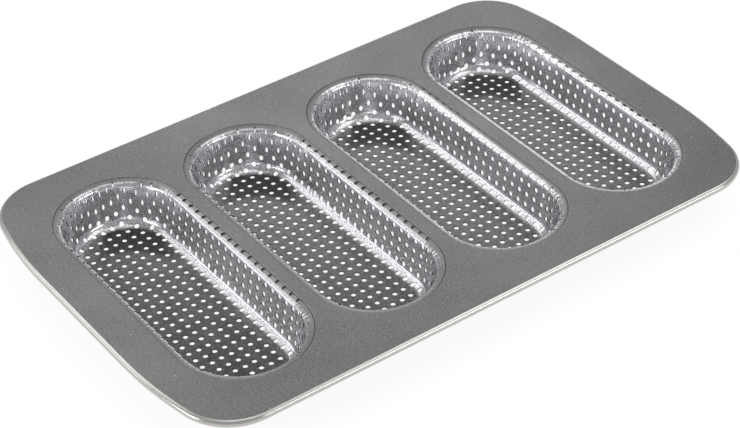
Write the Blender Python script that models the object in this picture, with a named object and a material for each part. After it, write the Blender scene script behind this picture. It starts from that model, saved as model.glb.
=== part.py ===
"""A flat steel baking pan with four perforated wells for rolls or small loaves.

A pressed plate carries the pan. Its outer edge is rolled round a steel wire, and it
has four long openings with round ends. Round each opening the sheet steps down to a
narrow sloping ledge. A separate cup of thin perforated sheet hangs in each opening:
its flange lies on the ledge, and its wall runs down from there through the opening.
A plain grid of round openings in each cup stands for the finer holes of a real one.

Metres, +Z up. X runs across the wells and Y along them. The origin is the centre of
the pan at the height of the surface that the four cups stand on.
"""
import math

import bmesh
import bpy
from mathutils import Vector

# Layout of the openings in the plate
WELL_COUNT = 4
WELL_WIDTH = 0.0780        # opening across, at the plate's upper face
WELL_LENGTH = 0.1965       # opening along, round ends included
WEB_WIDTH = 0.0072         # plate left between two openings
END_MARGIN = 0.0232        # end opening to the middle of the pan's short side
SIDE_MARGIN = 0.02275      # openings' round ends to the long sides

# Outline of the plate: each short side is straight in the middle, bends in slightly
# on both sides of that and runs into the corners
SIDE_STRAIGHT = 0.0856
SHOULDER_RADIUS = 0.2480
CORNER_RADIUS = 0.0333

# Sheets, wire and fits
PLATE_SHEET = 0.0007
CUP_SHEET = 0.0005
WIRE_DIAMETER = 0.0025
CLEARANCE = 0.0003         # gap left between two pieces that touch
CURL_SWEEP = math.radians(300)

# Section through the edge of an opening
STEP_RUN = 0.0006          # horizontal run of the step down from the plate
FLANGE_DROP = 0.00045      # plate's upper face down to the flange's outer edge
FLANGE_WIDTH = 0.0023
FLANGE_SLOPE = math.radians(15)

# Cup
WELL_DEPTH = 0.0264        # plate's upper face down to the cup's floor
CUP_BEND = 0.0035          # radius of the bend from flange to wall, upper face
WALL_DRAFT = math.radians(11)
FLOOR_FILLET = 0.0062

# Openings in the cup's floor and wall
FLOOR_HOLE = 0.0062        # diameter
FLOOR_ROWS = 12            # along the cup, also for the wall's long sides
FLOOR_COLUMNS = 4
WALL_HOLE = 0.0052         # diameter
WALL_ROWS = 2              # one above the other
HOLE_MARGIN = 0.0007       # least sheet left between an opening and a fold

# Facets
CORNER_STEPS = 8
SHOULDER_STEPS = 3
END_STEPS = 14
BEND_STEPS = 4
CURL_STEPS = 10
WIRE_SIDES = 8
HOLE_SIDES = 8

# Worked out from the values above
WELL_PITCH = WELL_WIDTH + WEB_WIDTH
PLATE_HALF_X = END_MARGIN + (WELL_WIDTH + (WELL_COUNT - 1) * WELL_PITCH) / 2
PLATE_HALF_Y = SIDE_MARGIN + WELL_LENGTH / 2
PLATE_TOP = WELL_DEPTH + CUP_SHEET
WELL_RADIUS = WELL_WIDTH / 2
WELL_STRAIGHT = WELL_LENGTH / 2 - WELL_RADIUS
LEDGE_RADIUS = WELL_RADIUS - STEP_RUN
FLANGE_RADIUS = LEDGE_RADIUS - CLEARANCE
LEDGE_OFFSET = CUP_SHEET + CLEARANCE
WALL_ANGLE = math.pi / 2 - WALL_DRAFT
CURL_INNER = WIRE_DIAMETER / 2 + CLEARANCE
CURL_OUTER = CURL_INNER + PLATE_SHEET


def clear_scene():
    """Remove every object, so that the script can be run again."""
    for old in list(bpy.data.objects):
        bpy.data.objects.remove(old, do_unlink=True)


def make_material(name, color, roughness, metallic):
    """Return a Principled material with one plain colour."""
    material = bpy.data.materials.new(name)
    material.use_nodes = True
    shader = material.node_tree.nodes["Principled BSDF"]
    shader.inputs["Base Color"].default_value = (*color, 1.0)
    shader.inputs["Roughness"].default_value = roughness
    shader.inputs["Metallic"].default_value = metallic
    return material


def link_object(name, mesh, material, location=(0.0, 0.0, 0.0)):
    """Put a mesh into the scene as a named object, smooth except at its folds."""
    if not mesh.materials:
        mesh.materials.append(material)
        mesh.shade_smooth()
        mesh.set_sharp_from_angle(angle=math.radians(35))
    piece = bpy.data.objects.new(name, mesh)
    piece.location = location
    bpy.context.scene.collection.objects.link(piece)
    return piece


def finish_mesh(name, bm):
    """Turn a closed bmesh into a mesh whose faces all point out."""
    bmesh.ops.recalc_face_normals(bm, faces=bm.faces)
    mesh = bpy.data.meshes.new(name)
    bm.to_mesh(mesh)
    bm.free()
    return mesh


def arc_angles(start, end, steps):
    """Angles from start to end, both included."""
    return [start + (end - start) * i / steps for i in range(steps + 1)]


def pan_outline(inset):
    """Points of the plate's outline, moved in by inset. Each quarter is a straight
    stretch, a wide shoulder arc and a corner arc, which meet without a kink."""
    straight = SIDE_STRAIGHT / 2
    spread = SHOULDER_RADIUS - CORNER_RADIUS
    meet = math.asin((PLATE_HALF_Y - CORNER_RADIUS - straight) / spread)
    shoulder_x = PLATE_HALF_X - SHOULDER_RADIUS
    corner_x = shoulder_x + spread * math.cos(meet)
    corner_y = PLATE_HALF_Y - CORNER_RADIUS
    quarter = []
    for a in arc_angles(0.0, meet, SHOULDER_STEPS)[:-1]:
        radius = SHOULDER_RADIUS - inset
        quarter.append((shoulder_x + radius * math.cos(a), straight + radius * math.sin(a)))
    for a in arc_angles(meet, math.pi / 2, CORNER_STEPS):
        radius = CORNER_RADIUS - inset
        quarter.append((corner_x + radius * math.cos(a), corner_y + radius * math.sin(a)))
    right = [(x, -y) for x, y in reversed(quarter)] + quarter
    return right + [(-x, -y) for x, y in right]


def well_outline(radius):
    """Points of a long outline with round ends of this radius, about its centre."""
    points = []
    for a in arc_angles(0, math.pi, END_STEPS):
        points.append((radius * math.cos(a), WELL_STRAIGHT + radius * math.sin(a)))
    return points + [(-x, -y) for x, y in points]


def add_ring(bm, outline, z, centre_x=0.0):
    """Add the vertices of a closed outline at height z."""
    return [bm.verts.new((centre_x + x, y, z)) for x, y in outline]


def skin(bm, rings):
    """Join each ring to the next one with a band of four-sided faces."""
    for ring, following in zip(rings, rings[1:]):
        count = len(ring)
        for i in range(count):
            j = (i + 1) % count
            bm.faces.new((ring[i], ring[j], following[j], following[i]))


def ring_edges(bm, ring):
    """Edges that run round a ring."""
    pairs = zip(ring, ring[1:] + ring[:1])
    return [bm.edges.get(pair) or bm.edges.new(pair) for pair in pairs]


def surface_normal(slope):
    """Direction out of the sheet's lower or outer face, as (outward, up), where the
    sheet falls inward at this slope: 0 on the level and a right angle on a wall."""
    return math.sin(slope), -math.cos(slope)


def flange_height(distance, offset):
    """Height of the flange's line at this distance from the well's centre, for a
    face that lies offset below the flange's upper face."""
    top = PLATE_TOP - FLANGE_DROP - (FLANGE_RADIUS - distance) * math.tan(FLANGE_SLOPE)
    return top - offset / math.cos(FLANGE_SLOPE)


def bend_centre():
    """Centre of the cup's bend from flange to wall."""
    run = FLANGE_WIDTH * math.cos(FLANGE_SLOPE)
    out, up = surface_normal(FLANGE_SLOPE)
    start = FLANGE_RADIUS - run
    return start + CUP_BEND * out, flange_height(start, 0.0) + CUP_BEND * up


def bend_points(offset):
    """Points round the bend, from flange to wall."""
    centre_d, centre_z = bend_centre()
    radius = CUP_BEND - offset
    points = []
    for slope in arc_angles(FLANGE_SLOPE, WALL_ANGLE, BEND_STEPS):
        out, up = surface_normal(slope)
        points.append((centre_d - radius * out, centre_z - radius * up))
    return points


def fillet_points(offset):
    """Points round the fillet, from wall to floor."""
    wall_d, wall_z = bend_points(0.0)[-1]
    out, up = surface_normal(WALL_ANGLE)
    centre_z = PLATE_TOP - WELL_DEPTH + FLOOR_FILLET
    fall = wall_z - (centre_z + FLOOR_FILLET * up)
    centre_d = wall_d - fall * math.tan(WALL_DRAFT) - FLOOR_FILLET * out
    radius = FLOOR_FILLET + offset
    points = []
    for slope in arc_angles(WALL_ANGLE, 0.0, BEND_STEPS):
        out, up = surface_normal(slope)
        points.append((centre_d + radius * out, centre_z + radius * up))
    return points


def cup_section(offset):
    """Section of one face of the cup's sheet, from the flange's edge to the floor."""
    edge = (FLANGE_RADIUS, flange_height(FLANGE_RADIUS, offset))
    return [edge] + bend_points(offset) + fillet_points(offset)


def opening_section():
    """Section of the plate round an opening: upper face inward to the ledge's cut
    edge, where the cup's bend starts, then the lower face back out."""
    upper = LEDGE_OFFSET
    lower = LEDGE_OFFSET + PLATE_SHEET
    foot_z = flange_height(LEDGE_RADIUS, upper)
    fall = PLATE_TOP - foot_z
    length = math.hypot(STEP_RUN, fall)
    # The step's lower face is its upper face moved out by the sheet's thickness.
    shift_d = PLATE_SHEET * fall / length
    shift_z = -PLATE_SHEET * STEP_RUN / length
    slant = STEP_RUN / fall
    back_top = PLATE_TOP - PLATE_SHEET
    back_d = WELL_RADIUS + shift_d - (PLATE_TOP + shift_z - back_top) * slant
    # Where that face meets the ledge's lower face.
    ledge_slope = math.tan(FLANGE_SLOPE)
    gap = back_top - flange_height(back_d, lower)
    drop = gap / (1 - slant * ledge_slope)
    back_foot = (back_d - drop * slant, back_top - drop)
    top = [(WELL_RADIUS, PLATE_TOP), (LEDGE_RADIUS, foot_z), bend_points(upper)[0]]
    return top + [bend_points(lower)[0], back_foot, (back_d, back_top)]


def curl_section():
    """Section of the rolled edge, as (inset, height): upper face of the plate out and
    round the wire, across the sheet's end, then back along the inner face."""
    centre_z = PLATE_TOP - CURL_OUTER
    points = []
    angles = arc_angles(math.pi / 2, math.pi / 2 - CURL_SWEEP, CURL_STEPS)
    for radius, turn in ((CURL_OUTER, angles), (CURL_INNER, angles[::-1])):
        for a in turn:
            inset = CURL_OUTER - radius * math.cos(a)
            points.append((inset, centre_z + radius * math.sin(a)))
    return points


def well_centres():
    """Middle of each well along X, from left to right."""
    first = -(WELL_COUNT - 1) * WELL_PITCH / 2
    return [first + i * WELL_PITCH for i in range(WELL_COUNT)]


def build_plate(material):
    """Pressed plate: rolled edge, flat top and the openings with their ledges."""
    bm = bmesh.new()
    curl = [add_ring(bm, pan_outline(inset), z) for inset, z in curl_section()]
    skin(bm, curl)
    upper_edges = ring_edges(bm, curl[0])
    lower_edges = ring_edges(bm, curl[-1])
    for centre in well_centres():
        rings = [add_ring(bm, well_outline(d), z, centre) for d, z in opening_section()]
        skin(bm, rings)
        upper_edges += ring_edges(bm, rings[0])
        lower_edges += ring_edges(bm, rings[-1])
    for edges in (upper_edges, lower_edges):
        bmesh.ops.triangle_fill(bm, use_beauty=True, use_dissolve=False, edges=edges)
    return link_object("plate", finish_mesh("plate", bm), material)


def build_wire(material):
    """Steel wire inside the rolled edge, welded into one ring."""
    bm = bmesh.new()
    centre_z = PLATE_TOP - CURL_OUTER
    rings = []
    for a in arc_angles(0.0, 2 * math.pi, WIRE_SIDES):
        inset = CURL_OUTER - WIRE_DIAMETER / 2 * math.cos(a)
        rings.append((inset, centre_z + WIRE_DIAMETER / 2 * math.sin(a)))
    loops = [add_ring(bm, pan_outline(inset), z) for inset, z in rings[:-1]]
    skin(bm, loops + loops[:1])
    return link_object("rim_wire", finish_mesh("rim_wire", bm), material)


def hole_rows():
    """Places of the rows of openings along the cup."""
    pitch = 2 * (WELL_STRAIGHT + cup_section(0.0)[-1][0]) / FLOOR_ROWS
    return [(row - (FLOOR_ROWS - 1) / 2) * pitch for row in range(FLOOR_ROWS)]


def floor_holes():
    """Centres of the openings in the cup's floor: those of the grid that lie wholly
    on the flat."""
    floor_radius, floor_z = cup_section(0.0)[-1]
    pitch = 2 * floor_radius / FLOOR_COLUMNS
    room = floor_radius - FLOOR_HOLE / 2 - HOLE_MARGIN
    centres = []
    for y in hole_rows():
        for column in range(FLOOR_COLUMNS):
            x = (column - (FLOOR_COLUMNS - 1) / 2) * pitch
            if math.hypot(x, max(abs(y) - WELL_STRAIGHT, 0.0)) <= room:
                centres.append(Vector((x, y, floor_z)))
    return centres


def punch(bm, face, back, diameter, centres):
    """Cut round openings through the sheet between a flat face and the one behind
    it. The centres lie on the first face."""
    face.normal_update()
    normal = face.normal.copy()
    behind = back.calc_center_median()
    side = Vector((-normal.y, normal.x, 0.0))
    side = side.normalized() if side.length > 0.1 else Vector((1.0, 0.0, 0.0))
    rise = normal.cross(side)
    front_edges = list(face.edges)
    back_edges = list(back.edges)
    for centre in centres:
        front = []
        for a in arc_angles(0.0, 2 * math.pi, HOLE_SIDES)[:-1]:
            reach = math.cos(a) * side + math.sin(a) * rise
            front.append(bm.verts.new(centre + diameter / 2 * reach))
        ends = [v.co + normal * normal.dot(behind - v.co) for v in front]
        rear = [bm.verts.new(end) for end in ends]
        skin(bm, [front, rear])
        front_edges += ring_edges(bm, front)
        back_edges += ring_edges(bm, rear)
    bmesh.ops.delete(bm, geom=[face, back], context="FACES_ONLY")
    for edges in (front_edges, back_edges):
        bmesh.ops.triangle_fill(
            bm, use_beauty=True, use_dissolve=False, edges=edges, normal=normal)


def wall_face(bm, upper, lower, i):
    """Face of the wall between two rings, after their point i."""
    j = (i + 1) % len(upper)
    return bm.faces.get((upper[i], upper[j], lower[j], lower[i]))


def wall_levels(face):
    """Shifts from a wall face's middle to the openings one above the other."""
    heights = [v.co.z for v in face.verts]
    slope = (max(heights) - min(heights)) / math.cos(WALL_DRAFT) / WALL_ROWS
    outward = face.calc_center_median()
    outward.y -= math.copysign(min(abs(outward.y), WELL_STRAIGHT), outward.y)
    outward.z = 0.0
    rise = outward.normalized() * math.sin(WALL_DRAFT)
    rise.z = math.cos(WALL_DRAFT)
    return [rise * slope * (row - (WALL_ROWS - 1) / 2) for row in range(WALL_ROWS)]


def punch_wall(bm, inner, outer):
    """Cut rows of openings round the cup's wall: on the long sides in line with the
    floor's rows, and in every second facet of the round ends."""
    room = WELL_STRAIGHT - WALL_HOLE / 2 - HOLE_MARGIN
    long_side = [Vector((0.0, y, 0.0)) for y in hole_rows() if abs(y) <= room]
    places = {}
    for turn in (0, END_STEPS + 1):
        places[turn + END_STEPS] = long_side
        for step in range(1, END_STEPS // 2, 2):
            places[turn + step] = [Vector()]
            places[turn + END_STEPS - 1 - step] = [Vector()]
    for i, shifts in places.items():
        face = wall_face(bm, *inner, i)
        middle = face.calc_center_median()
        centres = [middle + level + shift for level in wall_levels(face) for shift in shifts]
        punch(bm, face, wall_face(bm, *outer, i), WALL_HOLE, centres)


def build_cup_mesh():
    """One cup about its own centre: inner face down to the floor and the outer face
    back up, joined at the flange's edge, with openings in its floor and wall."""
    bm = bmesh.new()
    inner = [add_ring(bm, well_outline(d), z) for d, z in cup_section(0.0)]
    outer = [add_ring(bm, well_outline(d), z) for d, z in cup_section(CUP_SHEET)]
    skin(bm, inner[::-1] + outer)
    floor = bm.faces.new(inner[-1])
    base = bm.faces.new(outer[-1])
    wall = BEND_STEPS + 1
    punch_wall(bm, inner[wall:wall + 2], outer[wall:wall + 2])
    punch(bm, floor, base, FLOOR_HOLE, floor_holes())
    return finish_mesh("cup", bm)


def build_cups(material):
    """The four cups, which share one mesh, left to right."""
    mesh = build_cup_mesh()
    for number, centre in enumerate(well_centres(), start=1):
        link_object(f"cup_{number}", mesh, material, (centre, 0.0, 0.0))


def main():
    """Build the pan."""
    clear_scene()
    coating = make_material("dark_coating", (0.20, 0.20, 0.21), 0.45, 0.55)
    sheet = make_material("perforated_sheet", (0.34, 0.34, 0.36), 0.34, 0.85)
    steel = make_material("wire_steel", (0.50, 0.50, 0.50), 0.40, 1.0)
    build_plate(coating)
    build_wire(steel)
    build_cups(sheet)


if __name__ == "__main__":
    main()
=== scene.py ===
"""A rectangular roll pan with four perforated wells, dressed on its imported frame.

The pan is pressed from plain sheet steel, with an edge rolled round a wire, and has
four long openings. A cup of thin perforated sheet hangs in each opening. The script
makes a fine surface for each of these pieces in the place of its plain solid, gives
them their finishes, and sets up the floor, the lights and the camera.

Metres, +Z up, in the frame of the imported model: X runs across the wells, Y along
them, and the cups stand on z = 0.
"""

import logging
import math
from dataclasses import dataclass, field, replace
from enum import Enum

import bmesh
import bpy
from bmesh.types import BMEdge, BMesh, BMVert
from bpy.types import Material, Node, NodeSocket, Object, World
from mathutils import Matrix, Vector


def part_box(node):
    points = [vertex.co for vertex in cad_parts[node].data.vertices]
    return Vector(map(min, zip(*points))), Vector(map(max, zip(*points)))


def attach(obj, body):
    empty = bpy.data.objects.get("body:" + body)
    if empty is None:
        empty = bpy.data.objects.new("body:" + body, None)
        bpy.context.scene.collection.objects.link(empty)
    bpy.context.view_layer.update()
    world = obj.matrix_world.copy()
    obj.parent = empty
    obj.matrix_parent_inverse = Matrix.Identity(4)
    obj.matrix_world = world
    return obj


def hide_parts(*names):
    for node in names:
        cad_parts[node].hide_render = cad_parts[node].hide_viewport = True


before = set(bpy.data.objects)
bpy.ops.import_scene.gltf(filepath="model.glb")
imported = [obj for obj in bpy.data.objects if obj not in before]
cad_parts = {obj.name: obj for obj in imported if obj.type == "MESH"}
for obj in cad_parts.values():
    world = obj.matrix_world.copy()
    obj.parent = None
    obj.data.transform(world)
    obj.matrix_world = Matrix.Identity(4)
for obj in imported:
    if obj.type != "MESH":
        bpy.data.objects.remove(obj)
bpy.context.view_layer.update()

log = logging.getLogger("roll_pan")

Pair = tuple[float, float]
Triple = tuple[float, float, float]
Color = tuple[float, float, float, float]

WHITE: Triple = (1.0, 1.0, 1.0)

# Points nearer than this are one, in a section or a ring that is swept from it.
SAME_POINT = 1e-7

# Points nearer than this are one where copies meet, and on one level or one cut.
NEAR_POINT = 1e-6

# An edge that turns further than this looks sharp.
SHARP_ANGLE = math.radians(38)


class Slot(Enum):
    """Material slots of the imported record."""

    COATING = "dark_coating"
    PERFORATED = "perforated_sheet"
    WIRE = "wire_steel"


class Ray(Enum):
    """Kinds of ray that see the plain white background."""

    CAMERA = "Is Camera Ray"
    GLOSSY = "Is Glossy Ray"
    TRANSMISSION = "Is Transmission Ray"


@dataclass(frozen=True)
class WellSection:
    """Section through the edge, wall and floor of a well, as in the solids.

    Distances are measured from the well's centre line, outward. The blank is the
    cup's flat sheet before it is drawn, so a distance along it runs over the floor,
    up the fillet and the wall, round the bend and out over the flange. The wall is
    stretched as it is drawn, by a share that differs from cup to cup. Round the ends
    the press pulls in full from the turn full_pull on. A gap of rim_play shows between
    the flange and the step beside it.
    """

    plate_top: float = 0.0269
    radius: float = 0.0390
    straight: float = 0.05925
    step_run: float = 0.0006
    clearance: float = 0.0003
    flange_drop: float = 0.00045
    flange_width: float = 0.0023
    flange_slope: float = math.radians(15)
    bend_radius: float = 0.0035
    draft: float = math.radians(11)
    depth: float = 0.0264
    fillet: float = 0.0062
    cup_sheet: float = 0.0005
    stretch: float = 1.0
    full_pull: float = math.radians(50)
    rim_play: float = 0.00028

    @property
    def wall_slope(self) -> float:
        """Slope of the wall against the level."""
        return math.pi / 2 - self.draft

    @property
    def flange_radius(self) -> float:
        """Distance of the flange's outer edge."""
        return self.radius - self.step_run - self.clearance

    @property
    def flange_foot(self) -> Pair:
        """Where the flange runs into the bend, as distance and height."""
        distance = self.flange_radius - self.flange_width * math.cos(self.flange_slope)
        return distance, self.ledge_height(distance, 0.0)

    @property
    def bend_centre(self) -> Pair:
        """Centre of the bend between flange and wall."""
        d, z = self.flange_foot
        slope = self.flange_slope
        return d + self.bend_radius * math.sin(slope), z - self.bend_radius * math.cos(slope)

    @property
    def wall_top(self) -> Pair:
        """Where the bend runs into the wall."""
        d, z = self.bend_centre
        slope = self.wall_slope
        return d - self.bend_radius * math.sin(slope), z + self.bend_radius * math.cos(slope)

    @property
    def wall_foot(self) -> Pair:
        """Where the wall runs into the fillet."""
        floor = self.plate_top - self.depth
        z = floor + self.fillet * (1 - math.cos(self.wall_slope))
        d_top, z_top = self.wall_top
        return d_top - (z_top - z) * math.tan(self.draft), z

    @property
    def floor_radius(self) -> float:
        """Distance at which the flat floor ends."""
        return self.wall_foot[0] - self.fillet * math.sin(self.wall_slope)

    def ledge_height(self, distance: float, below: float) -> float:
        """Height of the flange's line.

        Args:
            distance: Distance from the well's centre line.
            below: How far the face lies under the flange's upper face.

        Returns:
            The height of that face.
        """
        fall = (self.flange_radius - distance) * math.tan(self.flange_slope)
        return self.plate_top - self.flange_drop - fall - below / math.cos(self.flange_slope)

    def lengths(self) -> list[float]:
        """Measure the blank from its centre line outward.

        Returns:
            The lengths of the floor, the fillet, the wall, the bend and the flange.
        """
        (d_top, z_top), (d_foot, z_foot) = self.wall_top, self.wall_foot
        return [
            self.floor_radius,
            self.fillet * self.wall_slope,
            math.hypot(d_top - d_foot, z_top - z_foot) / self.stretch,
            self.bend_radius * (self.wall_slope - self.flange_slope),
            self.flange_width,
        ]

    def blank_radius(self) -> float:
        """Radius of the round ends of the flat blank."""
        return sum(self.lengths())

    def pulled(self, distance: float, turn: float) -> float:
        """Where the press pulls a point of a blank's round end, still laid flat.

        The sheet keeps its area there: it gathers round the end and grows up the wall.

        Args:
            distance: Distance of the point from the centre line before the pull.
            turn: How far round the end the point lies, from the long side, in radians.

        Returns:
            Its distance after the pull.
        """
        floor, fillet, *_ = self.lengths()
        foot, lean = floor + fillet, math.sin(self.draft)
        if distance <= foot:
            return distance
        radius = self.wall_foot[0]
        grown = radius * radius + lean * (distance * distance - foot * foot)
        climb = (math.sqrt(grown) - radius) / lean
        return distance + (foot + climb - distance) * self.end_share(turn)

    def end_share(self, turn: float) -> float:
        """How much of the pull of a round end acts at this turn from the long side."""
        share = min(turn / self.full_pull, 1.0)
        return share * share * (3 - 2 * share)

    def drawn(self, distance: float) -> Triple:
        """Where a point of the blank ends up once the cup is drawn.

        Args:
            distance: Distance of the point from the centre line of the flat blank.

        Returns:
            Distance, height and slope of the same point on the drawn cup.
        """
        floor, fillet, wall, bend, _ = self.lengths()
        base = self.plate_top - self.depth
        if distance <= floor:
            return distance, base, 0.0
        rest = distance - floor
        if rest <= fillet:
            slope = rest / self.fillet
            run = self.fillet * math.sin(slope)
            return floor + run, base + self.fillet * (1 - math.cos(slope)), slope
        rest -= fillet
        if rest <= wall:
            d, z = self.wall_foot
            slope = self.wall_slope
            reach = rest * self.stretch
            return d + reach * math.cos(slope), z + reach * math.sin(slope), slope
        rest -= wall
        if rest <= bend:
            d, z = self.bend_centre
            slope = self.wall_slope - rest / self.bend_radius
            reach = self.bend_radius
            return d - reach * math.sin(slope), z + reach * math.cos(slope), slope
        rest -= bend
        d, z = self.flange_foot
        slope = self.flange_slope
        return d + rest * math.cos(slope), z + rest * math.sin(slope), slope


@dataclass(frozen=True)
class PanOutline:
    """Quarter of the plate's outline: a straight, a wide shoulder and a corner."""

    half_x: float = 0.190
    half_y: float = 0.121
    side_straight: float = 0.0856
    shoulder_radius: float = 0.2480
    corner_radius: float = 0.0333

    @property
    def meet(self) -> float:
        """Angle at which the shoulder arc runs into the corner arc."""
        rise = self.half_y - self.corner_radius - self.side_straight / 2
        return math.asin(rise / (self.shoulder_radius - self.corner_radius))


class Section:
    """A section that is drawn with a vertex and then carried round an outline."""

    def __init__(self, distance: float, height: float) -> None:
        """Start the section in the plane y = 0.

        Args:
            distance: First point's x.
            height: First point's z.
        """
        self.bm: BMesh = bmesh.new()
        self.tip: BMVert = self.bm.verts.new((distance, 0.0, height))
        self.front: list[BMVert | BMEdge] = []

    def line(self, distance: float, height: float) -> None:
        """Draw straight on to the point at this x and z."""
        step = Vector((distance, 0.0, height)) - self.tip.co
        self._draw((0.0, 0.0), 0.0, 1, step)

    def arc(self, centre: Pair, angle: float, steps: int) -> None:
        """Draw an arc.

        Args:
            centre: The arc's centre, as x and z.
            angle: How far to turn; a positive angle goes from +X towards -Z.
            steps: Number of chords.
        """
        self._draw(centre, angle, steps, Vector())

    def _draw(self, centre: Pair, angle: float, steps: int, step: Vector) -> None:
        """Move the tip and leave edges behind it, by the spin operator.

        Args:
            centre: Centre of the turn, as x and z.
            angle: How far to turn; a positive angle goes from +X towards -Z.
            steps: Number of edges.
            step: Way to go with each edge, for a straight stretch.
        """
        made = bmesh.ops.spin(
            self.bm, geom=[self.tip], cent=(centre[0], 0.0, centre[1]), axis=(0, 1, 0),
            dvec=step, angle=angle, steps=steps, use_duplicate=False)
        self.tip = next(v for v in made["geom_last"] if isinstance(v, BMVert))

    def close(self) -> None:
        """Join the section's two ends, where they meet."""
        bmesh.ops.remove_doubles(self.bm, verts=self.bm.verts, dist=SAME_POINT)

    def sweep(self, centre: Pair, angle: float, steps: int, step: Triple = (0, 0, 0)) -> None:
        """Carry the section on, and leave faces behind it.

        Args:
            centre: Centre of the turn, as x and y.
            angle: How far to turn about +Z.
            steps: Number of bands of faces.
            step: Way to go in each band, for a straight stretch.
        """
        if not self.front:
            self.front = list(self.bm.verts) + list(self.bm.edges)
        made = bmesh.ops.spin(
            self.bm, geom=self.front, cent=(centre[0], centre[1], 0.0), axis=(0, 0, 1),
            dvec=step, angle=angle, steps=steps, use_duplicate=False)
        self.front = [x for x in made["geom_last"] if isinstance(x, (BMVert, BMEdge))]

    def mirrored(self) -> BMesh:
        """Mirror the swept quarter across Y and X.

        Returns:
            The whole ring.
        """
        for axis in ("Y", "X"):
            everything = list(self.bm.verts) + list(self.bm.edges) + list(self.bm.faces)
            bmesh.ops.mirror(self.bm, geom=everything, axis=axis, merge_dist=NEAR_POINT)
        bmesh.ops.remove_doubles(self.bm, verts=self.bm.verts, dist=SAME_POINT)
        return self.bm


def add_copy(bm: BMesh, part: BMesh, shift: Triple = (0.0, 0.0, 0.0)) -> None:
    """Add a copy of one bmesh to another.

    Args:
        bm: The bmesh that grows.
        part: What to add; it stays as it is.
        shift: How far the copy is moved.
    """
    mesh = bpy.data.meshes.new("part")
    part.to_mesh(mesh)
    mesh.transform(Matrix.Translation(shift))
    bm.from_mesh(mesh)
    bpy.data.meshes.remove(mesh)


def face_up(bm: BMesh) -> None:
    """Turn all faces of one connected sheet so that its level faces look up.

    Args:
        bm: The sheet.
    """
    bmesh.ops.recalc_face_normals(bm, faces=bm.faces)
    level = sum(f.normal.z * f.calc_area() for f in bm.faces)
    if level < 0:
        bmesh.ops.reverse_faces(bm, faces=bm.faces)


def add_object(name: str, data: bpy.types.ID) -> Object:
    """Add an object to the scene.

    Args:
        name: The object's name.
        data: Its mesh, lamp or camera.

    Returns:
        The new object.
    """
    thing = bpy.data.objects.new(name, data)
    bpy.context.scene.collection.objects.link(thing)
    return thing


def add_surface(name: str, bm: BMesh, finish: Material) -> Object:
    """Add a bmesh to the scene as an object.

    Args:
        name: The object's name.
        bm: The object's surface, in place. It is freed.
        finish: The object's material.

    Returns:
        The new object.
    """
    mesh = bpy.data.meshes.new(name)
    bm.to_mesh(mesh)
    bm.free()
    mesh.materials.append(finish)
    return add_object(name, mesh)


def publish(name: str, bm: BMesh, finish: Material) -> Object:
    """Make a bmesh a shown piece of the pan, in the place of its CAD node.

    Args:
        name: The CAD node's name, which the piece's own name starts with.
        bm: The piece's closed surface, in place. It is freed.
        finish: The piece's material.

    Returns:
        The new object.
    """
    piece = add_surface(name + "_surface", bm, finish)
    piece.data.shade_smooth()
    piece.data.set_sharp_from_angle(angle=SHARP_ANGLE)
    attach(piece, "root")
    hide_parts(name)
    triangles = sum(len(p.vertices) - 2 for p in piece.data.polygons)
    log.info("%s: %d triangles", piece.name, triangles)
    return piece


def opaque(color: Triple) -> Color:
    """Return the colour with its full opacity, as a socket holds it."""
    return (*color, 1.0)


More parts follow.
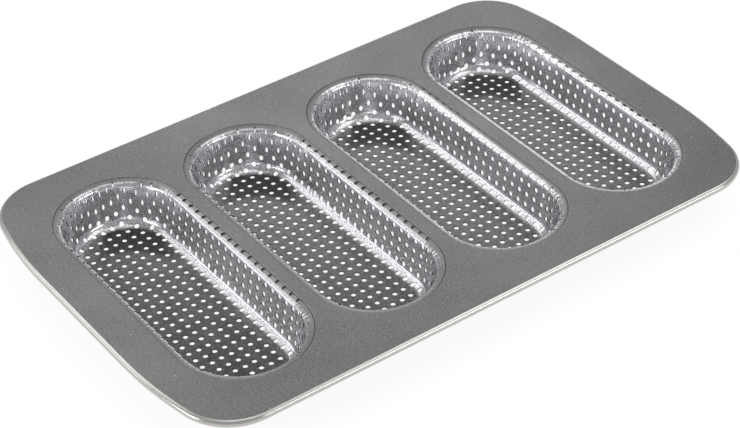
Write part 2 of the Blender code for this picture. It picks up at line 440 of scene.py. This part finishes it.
class NodeTree:
    """Short calls to add nodes to a material or a world and to join them."""

    # The Mix node's sockets for colours have the same names as those for values.
    FIRST_COLOR = 6
    OTHER_COLOR = 7
    MIXED_COLOR = 2

    def __init__(self, owner: Material | World) -> None:
        """Start with no nodes.

        Args:
            owner: The material or world that the nodes make up.
        """
        owner.use_nodes = True
        self.owner = owner
        self.nodes = owner.node_tree.nodes
        self.links = owner.node_tree.links
        self.nodes.clear()

    def add(self, kind: str, inputs: dict | None = None, **settings: object) -> Node:
        """Add a node.

        Args:
            kind: The node's type name, without the leading ShaderNode.
            inputs: Values or sockets by input name or number.
            **settings: Properties of the node itself.

        Returns:
            The new node.
        """
        node = self.nodes.new("ShaderNode" + kind)
        for key, value in settings.items():
            setattr(node, key, value)
        for key, value in (inputs or {}).items():
            if isinstance(value, NodeSocket):
                self.links.new(value, node.inputs[key])
            else:
                node.inputs[key].default_value = value
        return node

    def attribute(self, name: str) -> NodeSocket:
        """Return the value of a mesh's own attribute."""
        return self.add("Attribute", attribute_name=name).outputs["Fac"]

    def place(self) -> NodeSocket:
        """Return the place on the object."""
        return self.add("TexCoord").outputs["Object"]

    def noise(self, vector: NodeSocket, scale: float, detail: float,
              roughness: float = 0.5) -> NodeSocket:
        """Add a noise.

        Args:
            vector: The place at which it is read.
            scale: Features per metre.
            detail: Number of finer layers.
            roughness: Strength of each finer layer.

        Returns:
            A value from 0 to 1.
        """
        node = self.add("TexNoise", {"Vector": vector, "Scale": scale, "Detail": detail,
                                     "Roughness": roughness})
        return node.outputs["Fac"]

    def spread(self, value: NodeSocket, span: Pair, out: Pair = (0.0, 1.0)) -> NodeSocket:
        """Map a value from one span to another, and hold it there.

        Args:
            value: The value to map.
            span: Its two values that become the ends of out.
            out: The results at these two values.

        Returns:
            The mapped value.
        """
        node = self.add("MapRange", {"Value": value, "From Min": span[0], "From Max": span[1],
                                     "To Min": out[0], "To Max": out[1]}, clamp=True)
        return node.outputs["Result"]

    def math(self, kind: str, a: NodeSocket | float, b: NodeSocket | float) -> NodeSocket:
        """Return the result of one sum of two values, of the given kind."""
        return self.add("Math", {0: a, 1: b}, operation=kind).outputs["Value"]

    def weighted(self, a: NodeSocket, b: NodeSocket, share: float) -> NodeSocket:
        """Return the mean of two values, of which the first counts by this share."""
        rest = self.math("MULTIPLY", b, 1.0 - share)
        return self.math("ADD", self.math("MULTIPLY", a, share), rest)

    def tint(self, factor: NodeSocket, dark: Triple, light: Triple) -> NodeSocket:
        """Turn a value into a colour.

        Args:
            factor: A value from 0 to 1.
            dark: The colour at 0.
            light: The colour at 1.

        Returns:
            The colour between them.
        """
        node = self.add("ValToRGB", {"Fac": factor})
        node.color_ramp.elements[0].color = opaque(dark)
        node.color_ramp.elements[1].color = opaque(light)
        return node.outputs["Color"]

    def blend(self, factor: NodeSocket, color: NodeSocket,
              other: NodeSocket | Triple) -> NodeSocket:
        """Change a colour to another one.

        Args:
            factor: A value that is 1 where the other colour is to show.
            color: The colour where it is 0.
            other: The other colour.

        Returns:
            The blended colour.
        """
        if not isinstance(other, NodeSocket):
            other = opaque(other)
        inputs = {"Factor": factor, self.FIRST_COLOR: color, self.OTHER_COLOR: other}
        return self.add("Mix", inputs, data_type="RGBA").outputs[self.MIXED_COLOR]

    def bump(self, height: NodeSocket, distance: float, strength: float,
             normal: NodeSocket | None = None) -> NodeSocket:
        """Shade the surface as if it stood proud.

        Args:
            height: A value from 0 to 1.
            distance: How far the surface stands proud at 1.
            strength: How much of that is seen.
            normal: The normal of a coarser bump under this one.

        Returns:
            The new normal.
        """
        inputs = {"Height": height, "Distance": distance, "Strength": strength}
        if normal is not None:
            inputs["Normal"] = normal
        return self.add("Bump", inputs).outputs["Normal"]

    def finish(self, shader: Node, output: str = "OutputMaterial") -> Material | World:
        """Join the last shader to the output.

        Args:
            shader: The last shader.
            output: The output node's type name, without the leading ShaderNode.

        Returns:
            The material or world.
        """
        self.links.new(shader.outputs[0], self.add(output).inputs["Surface"])
        return self.owner


@dataclass(frozen=True)
class CoatingFinish:
    """Satin grey baked coating, with a fine metal flake in it.

    The attribute "rolled" is 1 on the rolled edge, which the roller left smoother and where
    a lighter grey, edge, is a painted highlight.
    """

    dark: Triple = (0.145, 0.145, 0.143)
    light: Triple = (0.29, 0.29, 0.286)
    shade_span: Pair = (0.34, 0.66)
    flake_scale: float = 1000.0
    flake_share: float = 0.75
    flake_height: float = 0.00003
    cloud_scale: float = 22.0
    speck: Triple = (0.55, 0.55, 0.55)
    speck_scale: float = 900.0
    speck_span: Pair = (0.73, 0.78)
    # Painted highlight: a lighter, warmer grey on the rolled edge.
    edge: Triple = (0.54, 0.53, 0.51)
    edge_polish: float = 0.13
    metallic: float = 0.66
    sheen_scale: float = 300.0
    sheen_span: Pair = (0.3, 0.7)
    roughness: Pair = (0.29, 0.36)

    def build(self) -> Material:
        """Make the material.

        Returns:
            The coating.
        """
        tree = NodeTree(bpy.data.materials.new("satin_coating"))
        place = tree.place()
        flake = tree.noise(place, self.flake_scale, detail=2.0, roughness=0.7)
        cloud = tree.noise(place, self.cloud_scale, detail=3.0)
        shade = tree.spread(tree.weighted(flake, cloud, self.flake_share), self.shade_span)
        specks = tree.spread(tree.noise(place, self.speck_scale, detail=1.0), self.speck_span)
        rolled = tree.attribute("rolled")
        color = tree.tint(shade, self.dark, self.light)
        color = tree.blend(specks, color, self.speck)
        # Painted highlight along the rolled edge.
        color = tree.blend(rolled, color, self.edge)
        sheen = tree.noise(place, self.sheen_scale, detail=2.0)
        roughness = tree.math(
            "SUBTRACT", tree.spread(sheen, self.sheen_span, self.roughness),
            tree.math("MULTIPLY", rolled, self.edge_polish))
        shader = tree.add("BsdfPrincipled", {
            "Base Color": color, "Metallic": self.metallic, "Roughness": roughness,
            "Normal": tree.bump(flake, self.flake_height, strength=0.5)})
        return tree.finish(shader)


@dataclass(frozen=True)
class PerforatedFinish:
    """Metallic grey coating on thin sheet that was punched and then drawn.

    The places are distances on the blank. Outside the floor, which ends at floor_to, the
    walls get a lighter copy of the colour as painted light, and the floor a darker copy as
    painted shade. Round the bend, from bend_from, and over the flange a darker grey is
    painted as shade, and the flange, from rim_from, is as dull as the plate. A ramp's two
    values say how far outside these places it starts and ends. The attribute "cut" is 1
    on the cut edges of the sheet, in the holes too, which are painted near black as the
    shade inside the holes, and "gathered" says how much the sheet was drawn together,
    which left fine crimps.
    """

    floor_to: float
    bend_from: float
    rim_from: float
    painted_light_ramp: Pair = (-0.0002, 0.0050)
    painted_bend_shade_ramp: Pair = (0.0012, 0.0006)
    dull_ramp: Pair = (-0.0006, 0.0004)
    # Painted light and shade: the floor gets a darker copy of the colour, the walls a lighter
    # one.
    shaded_floor_dark: Triple = (0.062, 0.062, 0.064)
    shaded_floor_light: Triple = (0.185, 0.185, 0.187)
    lit_wall_dark: Triple = (0.43, 0.43, 0.453)
    lit_wall_light: Triple = (0.95, 0.95, 0.98)
    shade_span: Pair = (0.38, 0.62)
    grain_scale: float = 1250.0
    grain_share: float = 0.82
    grain_height: float = 0.000006
    cloud_scale: float = 90.0
    cloud_span: Pair = (0.3, 0.7)
    # Painted shade: a darker grey round the bend and over the flange.
    rim: Triple = (0.25, 0.25, 0.25)
    rim_dulling: float = 0.18
    # Painted shade: near black on the cut faces, for the shade inside the holes and at the
    # sheet's edge.
    cut: Triple = (0.02, 0.02, 0.02)
    crimp_scale: Triple = (620.0, 40.0, 1.0)
    crimp_span: Pair = (0.18, 0.32)
    crimp_height: float = 0.0006
    metallic: float = 0.80
    roughness: Pair = (0.15, 0.21)

    def build(self) -> Material:
        """Make the material.

        Returns:
            The coating on the cups.
        """
        tree = NodeTree(bpy.data.materials.new("perforated_coating"))
        place = tree.place()
        drawn = tree.add("UVMap", uv_map="drawn").outputs["UV"]
        out = tree.add("SeparateXYZ", {"Vector": drawn}).outputs["Y"]
        # Painted light: 0 on the floor, which is painted darker as shade, and 1 on the walls,
        # which are painted lighter.
        painted_light = tree.spread(out, (self.floor_to + self.painted_light_ramp[0],
                                   self.floor_to + self.painted_light_ramp[1]))
        # Mask of the painted shade, 1 round the bend and over the flange.
        bent = tree.spread(out, (self.bend_from + self.painted_bend_shade_ramp[0],
                                 self.rim_from + self.painted_bend_shade_ramp[1]))
        dull = tree.spread(out, (self.rim_from + self.dull_ramp[0],
                                 self.rim_from + self.dull_ramp[1]))
        grain = tree.noise(place, self.grain_scale, detail=2.0, roughness=0.6)
        cloud = tree.noise(place, self.cloud_scale, detail=3.0, roughness=0.6)
        shade = tree.spread(tree.weighted(grain, cloud, self.grain_share), self.shade_span)
        # Painted shade on the floor and painted light on the walls, over the random grain.
        color = tree.blend(painted_light, tree.tint(shade, self.shaded_floor_dark, self.shaded_floor_light),
                           tree.tint(shade, self.lit_wall_dark, self.lit_wall_light))
        # Painted shade: the bend and the flange are painted a darker grey.
        color = tree.blend(bent, color, self.rim)
        # Painted shade: the cut faces, in the holes and at the sheet's edge, are painted near
        # black.
        color = tree.blend(tree.attribute("cut"), color, self.cut)
        roughness = tree.math(
            "ADD", tree.spread(cloud, self.cloud_span, self.roughness),
            tree.math("MULTIPLY", dull, self.rim_dulling))
        along = tree.add("Mapping", {"Vector": drawn, "Scale": self.crimp_scale})
        streaks = tree.noise(along.outputs["Vector"], 1.0, detail=2.0)
        crimped = tree.spread(tree.attribute("gathered"), self.crimp_span)
        normal = tree.bump(tree.math("MULTIPLY", streaks, crimped), self.crimp_height,
                           strength=1.0)
        normal = tree.bump(grain, self.grain_height, strength=0.5, normal=normal)
        shader = tree.add("BsdfPrincipled", {
            "Base Color": color, "Metallic": self.metallic, "Roughness": roughness,
            "Normal": normal})
        return tree.finish(shader)


@dataclass(frozen=True)
class WireFinish:
    """Plain drawn steel wire with fine scuffs."""

    dark: Triple = (0.38, 0.38, 0.38)
    light: Triple = (0.60, 0.60, 0.59)
    scuff_scale: float = 900.0
    scuff_span: Pair = (0.3, 0.7)
    scuff_height: float = 0.00002
    roughness: Pair = (0.34, 0.48)

    def build(self) -> Material:
        """Make the material.

        Returns:
            The wire's steel.
        """
        tree = NodeTree(bpy.data.materials.new("drawn_wire"))
        scuffs = tree.noise(tree.place(), self.scuff_scale, detail=3.0, roughness=0.6)
        shader = tree.add("BsdfPrincipled", {
            "Base Color": tree.tint(scuffs, self.dark, self.light), "Metallic": 1.0,
            "Roughness": tree.spread(scuffs, self.scuff_span, self.roughness),
            "Normal": tree.bump(scuffs, self.scuff_height, strength=0.5)})
        return tree.finish(shader)


@dataclass
class PlateSheet:
    """The pressed plate with its rolled edge and four openings, and the wire."""

    outline: PanOutline
    well: WellSection
    centres: list[float]
    sheet: float = 0.0007
    wire_diameter: float = 0.0025
    clearance: float = 0.0003
    curl_sweep: float = math.radians(300)
    flat_strip: float = 0.0010
    step_turn: float = math.radians(60)
    shoulder_steps: int = 8
    corner_steps: int = 28
    curl_steps: int = 30
    rounding_steps: int = 6
    end_steps: int = 30
    wire_sides: int = 16

    @property
    def curl_radius(self) -> float:
        """Outer radius of the rolled edge."""
        return self.wire_diameter / 2 + self.clearance + self.sheet

    @property
    def curl_centre(self) -> Pair:
        """Centre of the rolled edge on the right side, as x and z."""
        reach = self.curl_radius
        return self.outline.half_x - reach, self.well.plate_top - reach

    def _round_the_pan(self, section: Section) -> BMesh:
        """Sweep a section of the right side round the whole outline.

        Args:
            section: A section drawn at the outline's right side.

        Returns:
            The ring of faces.
        """
        form = self.outline
        straight = form.side_straight / 2
        shoulder_x = form.half_x - form.shoulder_radius
        spread = form.shoulder_radius - form.corner_radius
        corner = (shoulder_x + spread * math.cos(form.meet), form.half_y - form.corner_radius)
        section.sweep((0, 0), 0.0, 1, (0, straight, 0))
        section.sweep((shoulder_x, straight), form.meet, self.shoulder_steps)
        section.sweep(corner, math.pi / 2 - form.meet, self.corner_steps)
        section.sweep((0, 0), 0.0, 1, (-corner[0], 0, 0))
        return section.mirrored()

    def _rolled_edge(self) -> BMesh:
        """Make the upper face of the rolled edge, with a flat strip inside it.

        Returns:
            The ring of faces.
        """
        x, z = self.curl_centre
        top = self.well.plate_top
        section = Section(x - self.flat_strip, top)
        section.line(x, top)
        section.arc((x, z), self.curl_sweep, self.curl_steps)
        bm = self._round_the_pan(section)
        # 1 on the rolled edge, where the coating paints a highlight.
        rolled = bm.verts.layers.float.new("rolled")
        for vert in bm.verts:
            vert[rolled] = float(vert.co.z < top - NEAR_POINT)
        return bm

    def _opening(self) -> BMesh:
        """Make the upper face round one opening: a rounded step and the ledge.

        Returns:
            The ring of faces round the middle opening.
        """
        well = self.well
        under = well.cup_sheet + well.clearance
        wall = well.flange_radius + well.rim_play
        radius = (well.radius - wall) / math.sin(self.step_turn)
        section = Section(well.radius + self.flat_strip, well.plate_top)
        section.line(well.radius, well.plate_top)
        section.arc((well.radius, well.plate_top - radius), -self.step_turn, self.rounding_steps)
        section.line(wall, well.ledge_height(wall, under))
        d, z = well.bend_centre
        reach = well.bend_radius - under
        section.line(d - reach * math.sin(well.flange_slope),
                     z + reach * math.cos(well.flange_slope))
        section.sweep((0, 0), 0.0, 1, (0, well.straight, 0))
        section.sweep((0, well.straight), math.pi / 2, self.end_steps)
        return section.mirrored()

    def build(self, finish: Material) -> Object:
        """Make the plate.

        Args:
            finish: The plate's material.

        Returns:
            The plate's object.
        """
        bm = self._rolled_edge()
        opening = self._opening()
        for centre in self.centres:
            add_copy(bm, opening, (centre, 0.0, 0.0))
        opening.free()
        top = self.well.plate_top - NEAR_POINT
        level = [e for e in bm.edges
                 if e.is_boundary and e.verts[0].co.z > top and e.verts[1].co.z > top]
        bmesh.ops.triangle_fill(bm, use_beauty=True, use_dissolve=False, edges=level)
        face_up(bm)
        bmesh.ops.solidify(bm, geom=list(bm.faces), thickness=self.sheet)
        return publish("plate", bm, finish)

    def build_wire(self, finish: Material) -> Object:
        """Make the wire inside the rolled edge.

        Args:
            finish: The wire's material.

        Returns:
            The wire's object.
        """
        x, z = self.curl_centre
        section = Section(x + self.wire_diameter / 2, z)
        section.arc((x, z), 2 * math.pi, self.wire_sides)
        section.close()
        bm = self._round_the_pan(section)
        bmesh.ops.recalc_face_normals(bm, faces=bm.faces)
        return publish("rim_wire", bm, finish)


@dataclass(frozen=True)
class HoleGrid:
    """The grid of round holes in a cup's sheet, as it lies in one cup.

    Every other column is moved along by the stagger, and a hole's lower rim is narrower
    than its upper one by the taper, all round.
    """

    shift: Pair
    turn: float
    stagger: float = 0.00035
    across: float = 0.00604
    along: float = 0.00652
    diameter: float = 0.00294
    taper: float = 0.00013
    sides: int = 16
    column_pairs: int = 11
    rows: int = 39

    def _cell(self, column: int) -> BMesh:
        """Punch one cell: a rectangle of sheet with a round hole.

        Args:
            column: 0 or 1, the column in a pair.

        Returns:
            The cell, centred on the column's line.
        """
        bm = bmesh.new()
        corner = Matrix.Rotation(math.pi / 4, 4, "Z")
        rim = bmesh.ops.create_circle(bm, segments=4, radius=math.sqrt(0.5), matrix=corner)
        bmesh.ops.scale(bm, vec=(self.across, self.along, 1.0), verts=rim["verts"])
        bmesh.ops.subdivide_edges(bm, edges=list(bm.edges), cuts=self.sides // 4 - 1)
        bmesh.ops.create_circle(bm, segments=self.sides, radius=self.diameter / 2,
                                matrix=Matrix.Translation((0.0, column * self.stagger, 0.0)))
        bmesh.ops.bridge_loops(bm, edges=list(bm.edges))
        return bm

    def punched(self) -> BMesh:
        """Punch a flat sheet full of holes, larger than the blank.

        Returns:
            The sheet, as it lies in the cup.
        """
        pair = self._cell(0)
        add_copy(pair, self._cell(1), (self.across, 0.0, 0.0))
        row = bmesh.new()
        for number in range(self.column_pairs):
            add_copy(row, pair, (2 * self.across * number, 0.0, 0.0))
        sheet = bmesh.new()
        for number in range(self.rows):
            add_copy(sheet, row, (0.0, self.along * number, 0.0))
        bmesh.ops.remove_doubles(sheet, verts=sheet.verts, dist=NEAR_POINT)
        middle = Matrix.Translation((
            -2 * self.across * (self.column_pairs // 2), -self.along * (self.rows // 2), 0.0))
        place = Matrix.Translation((*self.shift, 0.0)) @ Matrix.Rotation(self.turn, 4, "Z")
        bmesh.ops.transform(sheet, matrix=place @ middle, verts=sheet.verts)
        return sheet


@dataclass
class PerforatedCup:
    """A cup that is punched as a flat blank, trimmed and drawn to its shape.

    Round the ends, the holes within plain_border of the blank's edge are closed, and
    the others are narrowed as the sheet gathers there, by hole_squeeze times what it
    gathers beyond squeeze_from. A cut of the trim takes in the faces up to trim_margin
    inside it, and corners nearer than sliver are merged after it.
    """

    node: str
    centre: float
    well: WellSection
    holes: HoleGrid
    trim_steps: int = 32
    trim_margin: float = 0.010
    sliver: float = 0.00003
    finest_turn: float = math.radians(8.5)
    most_splits: int = 4
    plain_border: float = 0.0048
    hole_squeeze: float = 2.3
    squeeze_from: float = 0.08

    def _from_spine(self, point: Vector) -> tuple[float, Vector, Vector]:
        """Measure from the centre line between the middles of the two round ends.

        Args:
            point: A point of the blank or the cup; its height doesn't count.

        Returns:
            The point's distance and direction from the centre line, and the nearest
            point on it.
        """
        near = Vector((0.0, max(-self.well.straight, min(self.well.straight, point.y)), 0.0))
        away = Vector((point.x, point.y, 0.0)) - near
        return away.length, away.normalized(), near

    def _pull_ends(self, bm: BMesh) -> None:
        """Pull the round ends of the flat sheet as the press does, holes and all.

        The holes that would lie on the bend there are closed.

        Args:
            bm: The flat sheet.
        """
        border = self.well.blank_radius() - self.plain_border
        ends = [v for v in bm.verts if abs(v.co.y) > self.well.straight]
        for vert in ends:
            distance, away, near = self._from_spine(vert.co)
            turn = math.atan2(abs(away.y), abs(away.x))
            vert.co = near + away * self.well.pulled(distance, turn)
        self._squeeze(ends)
        outer = {v for v in ends if self._from_spine(v.co)[0] > border}
        rims = [e for e in bm.edges if e.is_boundary and outer.issuperset(e.verts)]
        bmesh.ops.holes_fill(bm, edges=rims, sides=self.holes.sides)

    @staticmethod
    def _rim(start: BMVert) -> list[BMVert]:
        """Follow the open edge that a vertex lies on.

        Args:
            start: A vertex on the edge of a hole or of the sheet.

        Returns:
            All vertices on that edge.
        """
        rim = {start: None}
        tips = [start]
        while tips:
            near = (e.other_vert(tip) for tip in tips for e in tip.link_edges if e.is_boundary)
            tips = [v for v in dict.fromkeys(near) if v not in rim]
            rim.update(dict.fromkeys(tips))
        return list(rim)

    def _squeeze(self, ends: list[BMVert]) -> None:
        """Narrow the holes round the ends, where they give way as the sheet gathers.

        Args:
            ends: The vertices of the sheet's two ends.
        """
        waiting = dict.fromkeys(v for v in ends if v.is_boundary)
        while waiting:
            rim = self._rim(next(iter(waiting)))
            for vert in rim:
                waiting.pop(vert, None)
            if len(rim) > self.holes.sides:
                continue
            middle = sum((v.co for v in rim), Vector()) / len(rim)
            distance, away, _ = self._from_spine(middle)
            gathered = 1 - self.well.drawn(distance)[0] / distance
            share = self.well.end_share(math.atan2(abs(away.y), abs(away.x)))
            narrowing = self.hole_squeeze * max(0.0, gathered - self.squeeze_from) * share
            across = Vector((-away.y, away.x, 0.0))
            for vert in rim:
                vert.co -= across * (vert.co - middle).dot(across) * narrowing

    def _trim(self, bm: BMesh) -> None:
        """Cut the sheet down to the long blank with round ends.

        Args:
            bm: The flat sheet, whose ends are already pulled.
        """
        reach = self.well.blank_radius()
        for end in (1.0, -1.0):
            for step in range(self.trim_steps + 1):
                angle = math.pi * step / self.trim_steps
                normal = Vector((math.cos(angle), end * math.sin(angle), 0.0))
                point = Vector((0.0, end * self.well.straight, 0.0)) + normal * reach
                faces = [f for f in bm.faces
                         if (f.calc_center_median() - point).dot(normal) > -self.trim_margin]
                verts = dict.fromkeys(v for f in faces for v in f.verts)
                edges = dict.fromkeys(e for f in faces for e in f.edges)
                bmesh.ops.bisect_plane(
                    bm, geom=[*verts, *edges, *faces], dist=NEAR_POINT,
                    plane_co=point, plane_no=normal, clear_outer=True)
        bmesh.ops.remove_doubles(bm, verts=bm.verts, dist=self.sliver)

    def _refine(self, bm: BMesh) -> None:
        """Split the edges that will be bent, until each turns only a little.

        Args:
            bm: The trimmed blank.
        """
        for _ in range(self.most_splits):
            slope = {v: self.well.drawn(self._from_spine(v.co)[0])[2] for v in bm.verts}
            bent = [e for e in bm.edges
                    if abs(slope[e.verts[0]] - slope[e.verts[1]]) > self.finest_turn]
            if not bent:
                break
            bmesh.ops.subdivide_edges(bm, edges=bent, cuts=1, use_grid_fill=True)

    def _draw(self, bm: BMesh) -> None:
        """Press the flat blank into its shape and note how it was moved.

        Args:
            bm: The blank. It gets the UV map "drawn", with the way round and the way out
                on the blank, and the attribute "gathered".
        """
        drawn = bm.loops.layers.uv.new("drawn")
        gathered = bm.verts.layers.float.new("gathered")
        for face in bm.faces:
            for loop in face.loops:
                distance, away, near = self._from_spine(loop.vert.co)
                around = math.atan2(away.y, away.x) * self.well.radius + near.y * away.x
                loop[drawn].uv = (around, distance)
        for vert in bm.verts:
            distance, away, near = self._from_spine(vert.co)
            new, height, _ = self.well.drawn(distance)
            if abs(vert.co.y) > self.well.straight and distance > 0:
                vert[gathered] = 1 - new / distance
            vert.co = near + away * new + Vector((self.centre, 0.0, height))

    def _thicken(self, bm: BMesh) -> None:
        """Give the sheet its thickness, with holes that are narrower underneath.

        The underside stays above what the cup stands on, and level with the solid's
        under the flange.

        Args:
            bm: The drawn sheet. It gets the face attribute "cut".
        """
        # The finish paints these cut faces near black, as the shade inside the holes.
        cut = bm.faces.layers.float.new("cut")
        upper = set(bm.verts)
        bmesh.ops.solidify(bm, geom=list(bm.faces), thickness=self.well.cup_sheet)
        bm.normal_update()
        inward: dict[BMVert, Vector] = {}
        for face in bm.faces:
            under = set(face.verts) - upper
            if 0 < len(under) < len(face.verts):
                face[cut] = 1.0
                for vert in under:
                    inward[vert] = inward.get(vert, Vector()) + face.normal
        well = self.well
        for vert, way in inward.items():
            if vert.co.z < well.wall_top[1]:
                vert.co += way.normalized() * self.holes.taper
        middle = Vector((self.centre, 0.0, 0.0))
        for vert in set(bm.verts) - upper:
            distance = self._from_spine(vert.co - middle)[0]
            vert.co.z = max(vert.co.z, well.plate_top - well.depth - well.cup_sheet)
            if distance > well.flange_foot[0]:
                vert.co.z = min(vert.co.z, well.ledge_height(distance, well.cup_sheet))

    def build(self, finish: Material) -> Object:
        """Make the cup.

        Args:
            finish: The cup's material.

        Returns:
            The cup's object.
        """
        bm = self.holes.punched()
        self._pull_ends(bm)
        self._trim(bm)
        self._refine(bm)
        self._draw(bm)
        face_up(bm)
        self._thicken(bm)
        return publish(self.node, bm, finish)


@dataclass(frozen=True)
class Softbox:
    """A rectangular soft lamp that looks at the pan.

    The bearing is taken from +Y towards +X and the elevation from the floor, both in
    degrees. The glow is the lamp's brightness, where 1 looks white.
    """

    name: str
    bearing: float
    elevation: float
    distance: float
    size: Pair
    glow: float
    target: Triple = (0.0, 0.0, 0.02)

    def build(self) -> None:
        """Hang the lamp."""
        lamp = bpy.data.lights.new(self.name, "AREA")
        lamp.shape = "RECTANGLE"
        lamp.size, lamp.size_y = self.size
        lamp.energy = self.glow * math.pi * lamp.size * lamp.size_y
        bearing, elevation = math.radians(self.bearing), math.radians(self.elevation)
        level = self.distance * math.cos(elevation)
        place = Vector((level * math.sin(bearing), level * math.cos(bearing),
                        self.distance * math.sin(elevation)))
        holder = add_object(self.name, lamp)
        holder.location = place
        holder.rotation_euler = (Vector(self.target) - place).to_track_quat("-Z", "Y").to_euler()


@dataclass(frozen=True)
class PhotoCamera:
    """The camera, fitted to the photograph: its place and two of its axes."""

    place: Triple = (-0.56021, -0.79374, 0.75002)
    forward: Triple = (0.45644, 0.64954, -0.60808)
    right: Triple = (0.80785, -0.58895, -0.02272)
    lens: float = 105.04
    sensor: float = 36.0
    clip: Pair = (0.05, 30.0)

    def build(self) -> None:
        """Set up the camera and make it the scene's."""
        ahead = Vector(self.forward).normalized()
        side = Vector(self.right)
        side = (side - ahead * side.dot(ahead)).normalized()
        up = side.cross(ahead)
        camera = bpy.data.cameras.new("photo_camera")
        camera.lens = self.lens
        camera.sensor_width = self.sensor
        camera.sensor_fit = "HORIZONTAL"
        camera.clip_start, camera.clip_end = self.clip
        holder = add_object("photo_camera", camera)
        axes = Matrix((side, up, -ahead)).transposed().to_4x4()
        holder.matrix_world = Matrix.Translation(self.place) @ axes
        bpy.context.scene.camera = holder


@dataclass
class Studio:
    """Pale floor, white background and plain soft lamps.

    The pan gets its light from a floor of floor_color and a world of the fill. The eye
    sees both as white, by a glow on the floor, where shadow_color leaves a faint shadow.
    """

    floor_height: float = -0.0001
    floor_size: float = 14.0
    floor_cells: int = 8
    floor_color: Triple = (0.80, 0.80, 0.80)
    shadow_color: Triple = (0.15, 0.15, 0.15)
    floor_glow: float = 0.90
    fill: Triple = (0.41, 0.41, 0.412)
    lamps: list[Softbox] = field(default_factory=lambda: [
        Softbox("overhead", 0.0, 90.0, 1.8, (1.0, 1.0), 1.1),
        Softbox("right_high", 110.0, 57.0, 1.8, (1.4, 0.7), 1.7),
        Softbox("back", -4.0, 49.0, 1.8, (0.9, 0.5), 1.7),
        Softbox("back_left", -36.0, 38.0, 1.8, (0.9, 0.6), 1.25),
        Softbox("back_left_low", -46.0, 16.0, 1.8, (0.8, 0.5), 1.9),
        Softbox("left", -84.0, 17.0, 1.1, (0.45, 0.4), 4.2),
        Softbox("right_front", 151.0, 20.0, 1.8, (0.9, 0.65), 3.5),
        Softbox("back_strip", 42.0, 12.0, 1.8, (1.4, 0.35), 1.4),
        Softbox("back_right", 35.0, 35.5, 1.8, (0.75, 0.33), 1.25),
    ])

    def _seen(self, tree: NodeTree, *rays: Ray) -> NodeSocket:
        """Tell the rays that see the plain background from the others.

        Args:
            tree: The nodes to add to.
            *rays: The kinds of ray that see it.

        Returns:
            1 for a ray of these kinds, and 0 for another.
        """
        path = tree.add("LightPath")
        seen, *others = (path.outputs[ray.value] for ray in rays)
        for other in others:
            seen = tree.math("MAXIMUM", seen, other)
        return seen

    def _floor_finish(self) -> Material:
        """Make the floor's finish: white to the eye, with a faint shadow.

        Returns:
            The material.
        """
        tree = NodeTree(bpy.data.materials.new("pale_floor"))
        plain = tree.add("BsdfDiffuse", {"Color": opaque(self.floor_color)})
        faint = tree.add("BsdfDiffuse", {"Color": opaque(self.shadow_color)})
        glow = tree.add("Emission", {"Color": opaque(WHITE), "Strength": self.floor_glow})
        shown = tree.add("AddShader", {0: faint.outputs[0], 1: glow.outputs[0]})
        seen = self._seen(tree, Ray.CAMERA, Ray.GLOSSY, Ray.TRANSMISSION)
        return tree.finish(tree.add("MixShader", {
            0: seen, 1: plain.outputs[0], 2: shown.outputs[0]}))

    def _floor(self) -> None:
        """Lay the floor."""
        bm = bmesh.new()
        bmesh.ops.create_grid(bm, x_segments=self.floor_cells, y_segments=self.floor_cells,
                              size=self.floor_size / 2)
        bmesh.ops.translate(bm, vec=(0.0, 0.0, self.floor_height), verts=bm.verts)
        add_surface("floor", bm, self._floor_finish())

    def _world(self) -> None:
        """Fill the room with soft light: white to the eye, and greyer as a lamp."""
        tree = NodeTree(bpy.data.worlds.new("studio"))
        seen = self._seen(tree, Ray.CAMERA, Ray.TRANSMISSION)
        fill = tree.add("Background", {"Color": opaque(self.fill)})
        white = tree.add("Background", {"Color": opaque(WHITE)})
        mixed = tree.add("MixShader", {0: seen, 1: fill.outputs[0], 2: white.outputs[0]})
        bpy.context.scene.world = tree.finish(mixed, "OutputWorld")

    def build(self) -> None:
        """Set up the floor, the world and the lamps."""
        self._floor()
        self._world()
        for lamp in self.lamps:
            lamp.build()


# How the holes lie in each cup, and by how much each cup's wall is stretched.
HOLE_GRIDS: dict[str, HoleGrid] = {
    "cup_1": HoleGrid(shift=(0.00086, -0.00015), turn=math.radians(0.54)),
    "cup_2": HoleGrid(shift=(0.00071, -0.00055), turn=math.radians(0.92)),
    "cup_3": HoleGrid(shift=(0.00258, -0.00065), turn=math.radians(0.81), stagger=-0.00039),
    "cup_4": HoleGrid(shift=(-0.00260, -0.00171), turn=math.radians(0.53)),
}
WALL_STRETCH: dict[str, float] = {"cup_1": 1.0, "cup_2": 1.0, "cup_3": 1.04, "cup_4": 1.08}


def cup_centre(node: str) -> float:
    """Middle of a cup's solid along X."""
    low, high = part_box(node)
    return (low.x + high.x) / 2


def main() -> None:
    """Build the pan and its studio, and report each piece."""
    logging.basicConfig(level=logging.INFO, format="%(name)s: %(message)s")
    PhotoCamera().build()
    Studio().build()
    well = WellSection()
    log.info("blank: %.1f mm from its centre line", well.blank_radius() * 1000)
    plate = PlateSheet(PanOutline(), well, [cup_centre(node) for node in HOLE_GRIDS])
    plate.build(CoatingFinish().build())
    plate.build_wire(WireFinish().build())
    floor_to, _, _, bend, _ = well.lengths()
    rim_from = well.blank_radius() - well.flange_width
    perforated = PerforatedFinish(floor_to, rim_from - bend, rim_from).build()
    for node, grid in HOLE_GRIDS.items():
        cup_well = replace(well, stretch=WALL_STRETCH[node])
        PerforatedCup(node, cup_centre(node), cup_well, grid).build(perforated)
    bpy.context.scene.view_settings.view_transform = "Standard"


if __name__ == "__main__":
    main()
